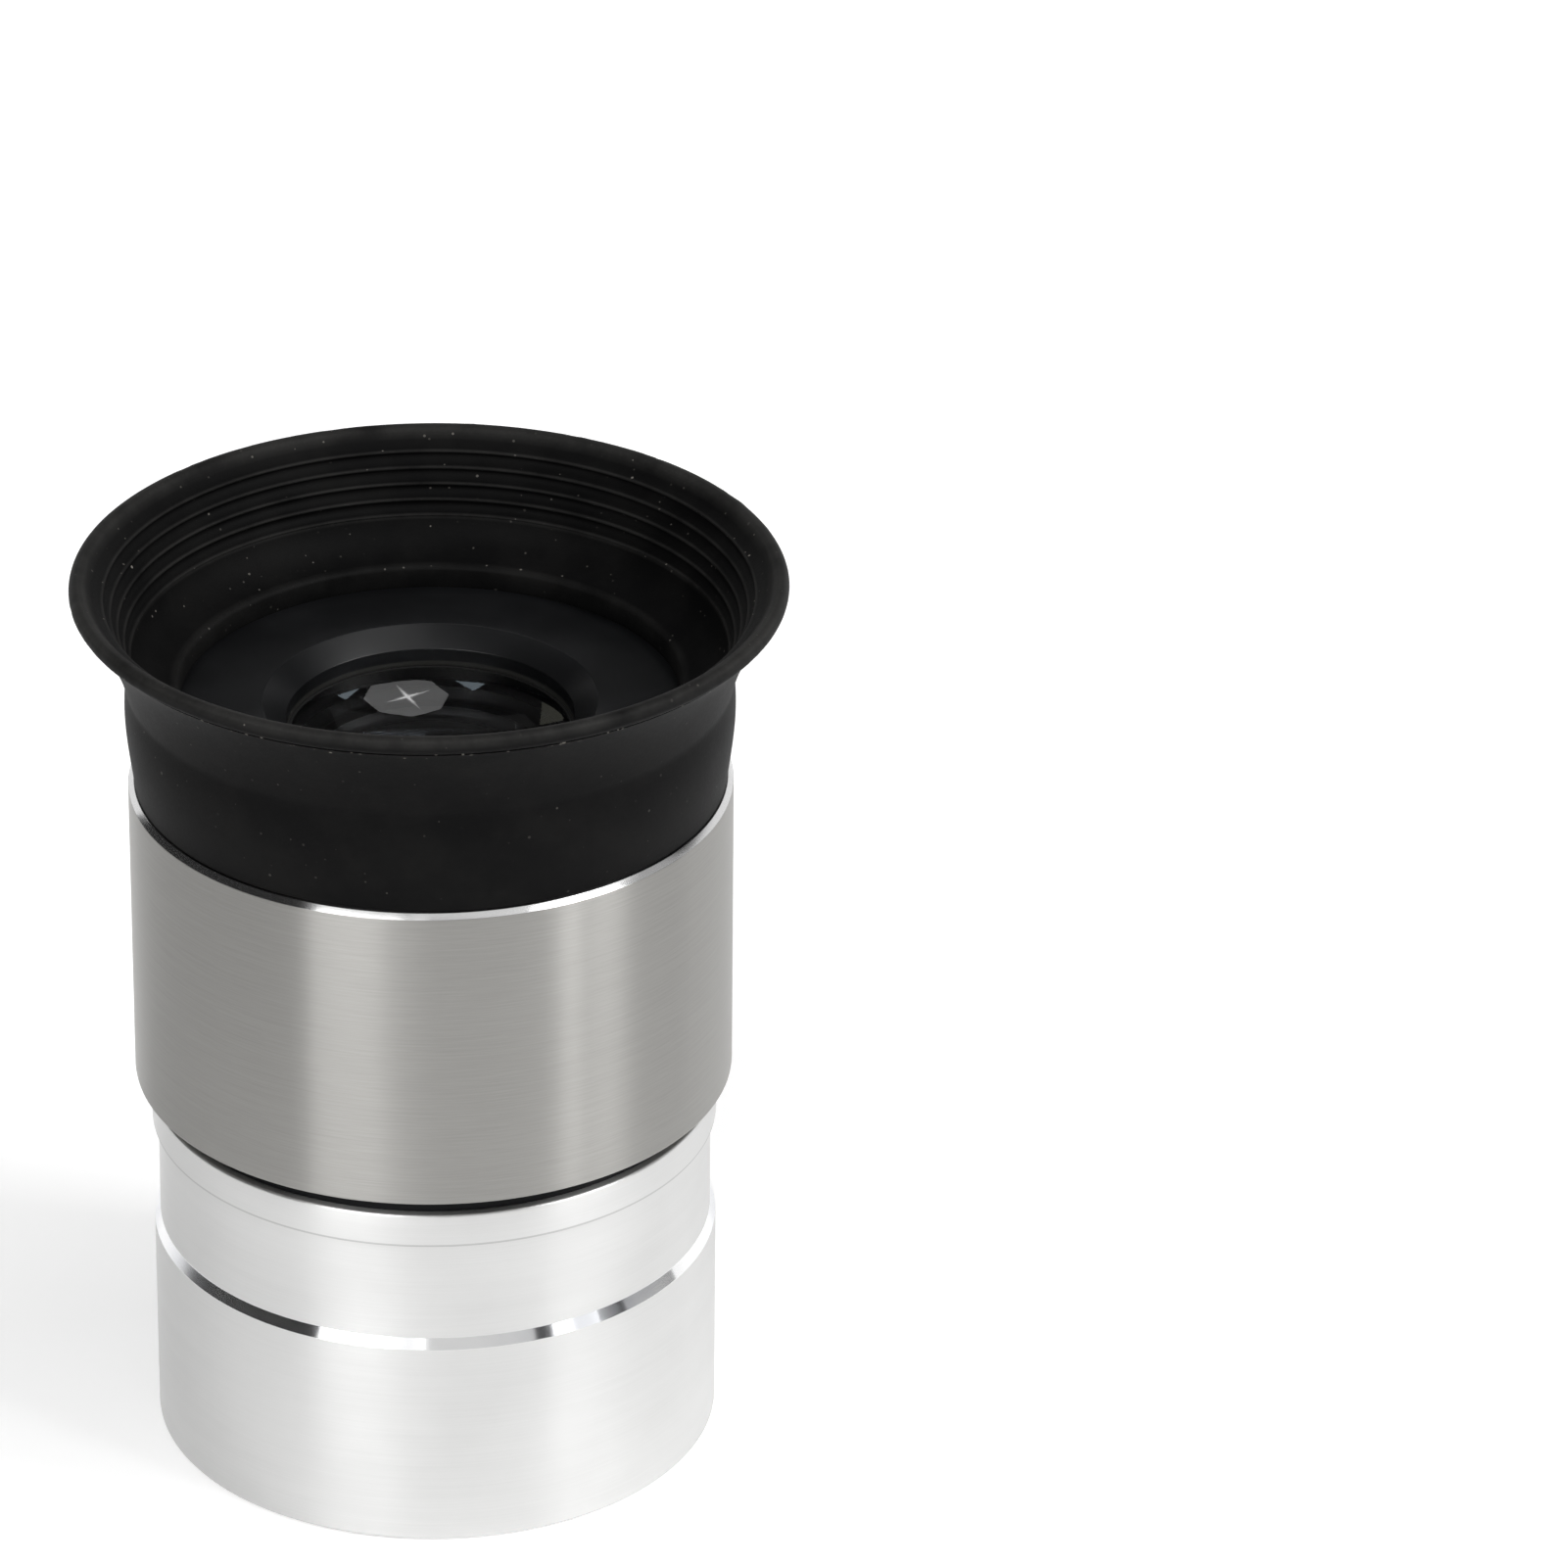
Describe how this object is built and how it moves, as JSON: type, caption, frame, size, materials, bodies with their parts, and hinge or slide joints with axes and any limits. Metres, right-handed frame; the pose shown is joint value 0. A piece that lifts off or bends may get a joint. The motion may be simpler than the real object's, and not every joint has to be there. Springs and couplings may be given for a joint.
{
  "type": "telescope eyepiece",
  "caption": "Eyepiece with a slip-in barrel for a focuser, a brushed sleeve round a lens stack, and a fold-down rubber eyecup; the body unscrews from the barrel.",
  "frame": {"origin": "centre of the barrel's lower end, on the optical axis, on the surface it stands on", "axes": "+Z along the optical axis from the barrel to the eye; X and Y square to it"},
  "size_m": [0.0394, 0.0394, 0.0522],
  "materials": {
    "satin_aluminium": "satin turned",
    "brushed_metal": "brushed round the axis",
    "black_anodised": "black anodised, satin",
    "black_rubber": "matte moulded",
    "coated_glass": "coated, clear"
  },
  "bodies": {
    "barrel": {"barrel": "satin_aluminium", "field_stop": "black_anodised"},
    "seat_ring": {"seat_ring": "black_anodised"},
    "housing": {"body_sleeve": "brushed_metal", "lens_housing": "black_anodised", "eye_flint_lens": "coated_glass", "eye_crown_lens": "coated_glass", "lens_spacer": "black_anodised", "field_crown_lens": "coated_glass", "field_flint_lens": "coated_glass", "retaining_ring": "black_anodised", "eyecup_band": "black_rubber"},
    "eyecup_flare": {"eyecup_flare": "black_rubber"}
  },
  "joints": [
    {"name": "body_lift", "type": "slide", "parent": "barrel", "child": "seat_ring", "axis": [0, 0, 1], "range_m": [0, 0.003]},
    {"name": "body_unscrew", "type": "hinge", "parent": "seat_ring", "child": "housing", "pos_m": [0, 0, 0.02094], "axis": [0, 0, 1], "range_deg": [0, 1440]},
    {"name": "eyecup_fold", "type": "slide", "parent": "housing", "child": "eyecup_flare", "axis": [0, 0, -1], "range_m": [0, 0.0115], "deforming": ["eyecup_flare"]}
  ],
  "couplings": [
    {"joint": "body_unscrew", "follows": "body_lift", "rad_per_m": 8377.6}
  ]
}
